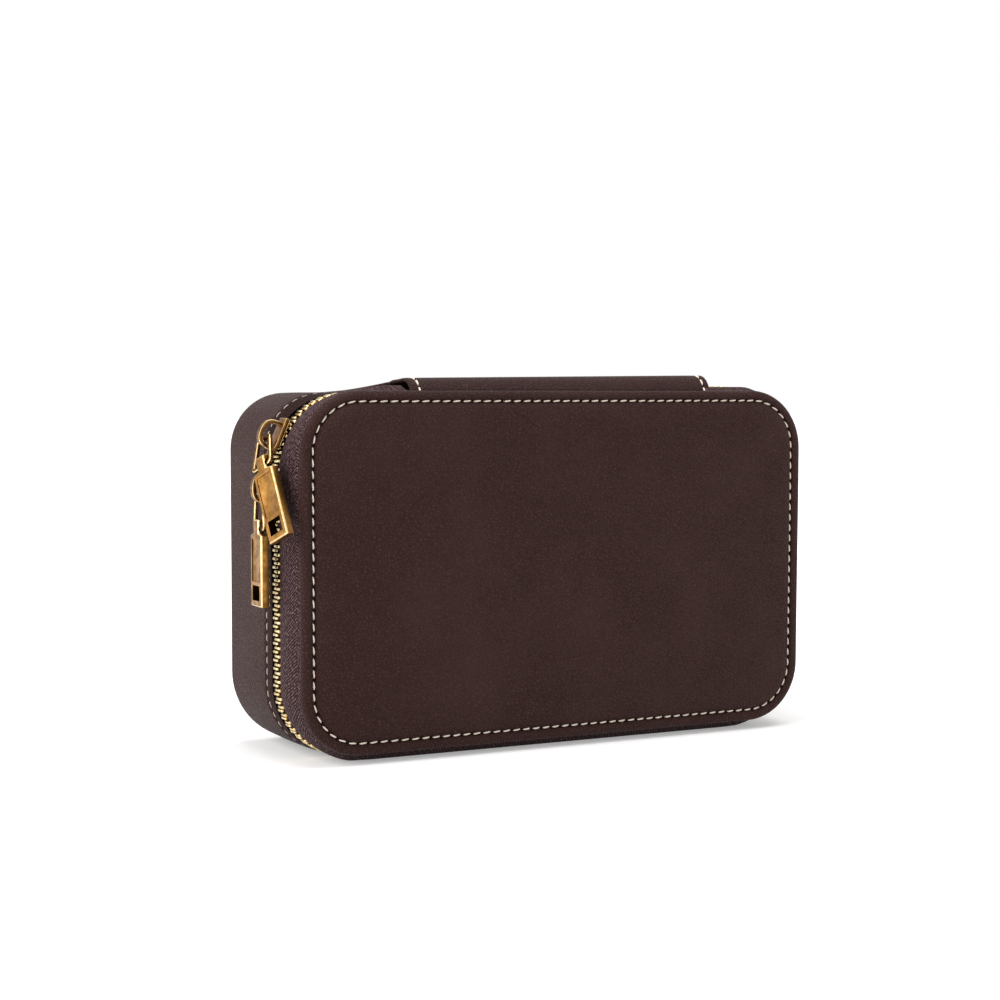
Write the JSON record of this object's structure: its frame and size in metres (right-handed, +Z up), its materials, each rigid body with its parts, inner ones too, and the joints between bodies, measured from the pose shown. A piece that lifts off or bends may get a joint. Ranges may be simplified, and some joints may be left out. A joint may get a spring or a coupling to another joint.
{
  "type": "jewellery case",
  "caption": "Upright zip-around leather jewellery case with a padded lid, strap hinge, brass sliders with block pulls, and velvet ring rolls and compartments inside.",
  "frame": {"origin": "middle of the flat face that the base stands on", "axes": "+X along the case's width, +Y towards its back, +Z up from the surface it stands on"},
  "size_m": [0.1861, 0.059, 0.1141],
  "materials": {
    "shell_leather": "fine grain, semi matt",
    "stiff_board": "plain pressed fibreboard",
    "velvet": "short pile",
    "foam": "open foam",
    "zip_tape": "twill weave",
    "zip_brass": "bright",
    "aged_brass": "antique with bright edges"
  },
  "bodies": {
    "case": {"base_band": "shell_leather", "base_back_panel": "shell_leather", "base_board": "stiff_board", "base_lining": "velvet", "left_divider": "velvet", "right_divider": "velvet", "left_cross_divider": "velvet", "right_cross_divider": "velvet", "ring_roll_1": "velvet", "ring_roll_2": "velvet", "ring_roll_3": "velvet", "ring_roll_4": "velvet", "ring_roll_5": "velvet", "ring_roll_6": "velvet", "base_zip_tape": "zip_tape", "base_zip_teeth": "zip_brass", "base_zip_stops": "zip_brass", "hinge_strap": "shell_leather"},
    "lid": {"lid_board": "stiff_board", "lid_padding": "foam", "lid_cover": "shell_leather", "lid_frame": "stiff_board", "lid_lining": "velvet", "lid_pocket": "velvet", "pocket_elastic": "velvet", "necklace_tabs": "shell_leather", "tab_snaps": "aged_brass", "lid_zip_tape": "zip_tape", "lid_zip_teeth": "zip_brass", "lid_zip_stops": "zip_brass"},
    "upper_slider": {"upper_slider": "aged_brass", "upper_slider_back_plate": "aged_brass"},
    "upper_ring": {"upper_ring": "aged_brass"},
    "upper_pull": {"upper_pull": "aged_brass"},
    "lower_slider": {"lower_slider": "aged_brass", "lower_slider_back_plate": "aged_brass"},
    "lower_ring": {"lower_ring": "aged_brass"},
    "lower_pull": {"lower_pull": "aged_brass"}
  },
  "joints": [
    {"name": "lid_hinge", "type": "hinge", "parent": "case", "child": "lid", "pos_m": [0, -0.0262, 0.113], "axis": [-1, 0, 0], "range_deg": [0, 110], "deforming": ["hinge_strap"]},
    {"name": "upper_slider_travel", "type": "hinge", "parent": "case", "child": "upper_slider", "pos_m": [-0.06625, -0.0217, 0.086], "axis": [0, 1, 0], "range_deg": [0, 45]},
    {"name": "lower_slider_travel", "type": "slide", "parent": "case", "child": "lower_slider", "axis": [0, 0, -1], "range_m": [0, 0.044]},
    {"name": "upper_ring_swing", "type": "hinge", "parent": "upper_slider", "child": "upper_ring", "pos_m": [-0.09173, -0.02068, 0.09552], "axis": [-0.31, 0.8517, -0.4226], "range_deg": [0, 20]},
    {"name": "upper_pull_swing", "type": "hinge", "parent": "upper_ring", "child": "upper_pull", "pos_m": [-0.09385, -0.02626, 0.08795], "axis": [-0.31, 0.8517, -0.4226], "range_deg": [0, 75]},
    {"name": "lower_ring_swing", "type": "hinge", "parent": "lower_slider", "child": "lower_ring", "pos_m": [-0.09325, -0.0209, 0.07891], "axis": [0, 1, 0], "range_deg": [0, 40]},
    {"name": "lower_pull_swing", "type": "hinge", "parent": "lower_ring", "child": "lower_pull", "pos_m": [-0.09325, -0.0209, 0.06931], "axis": [0, 1, 0], "range_deg": [0, 75]}
  ]
}
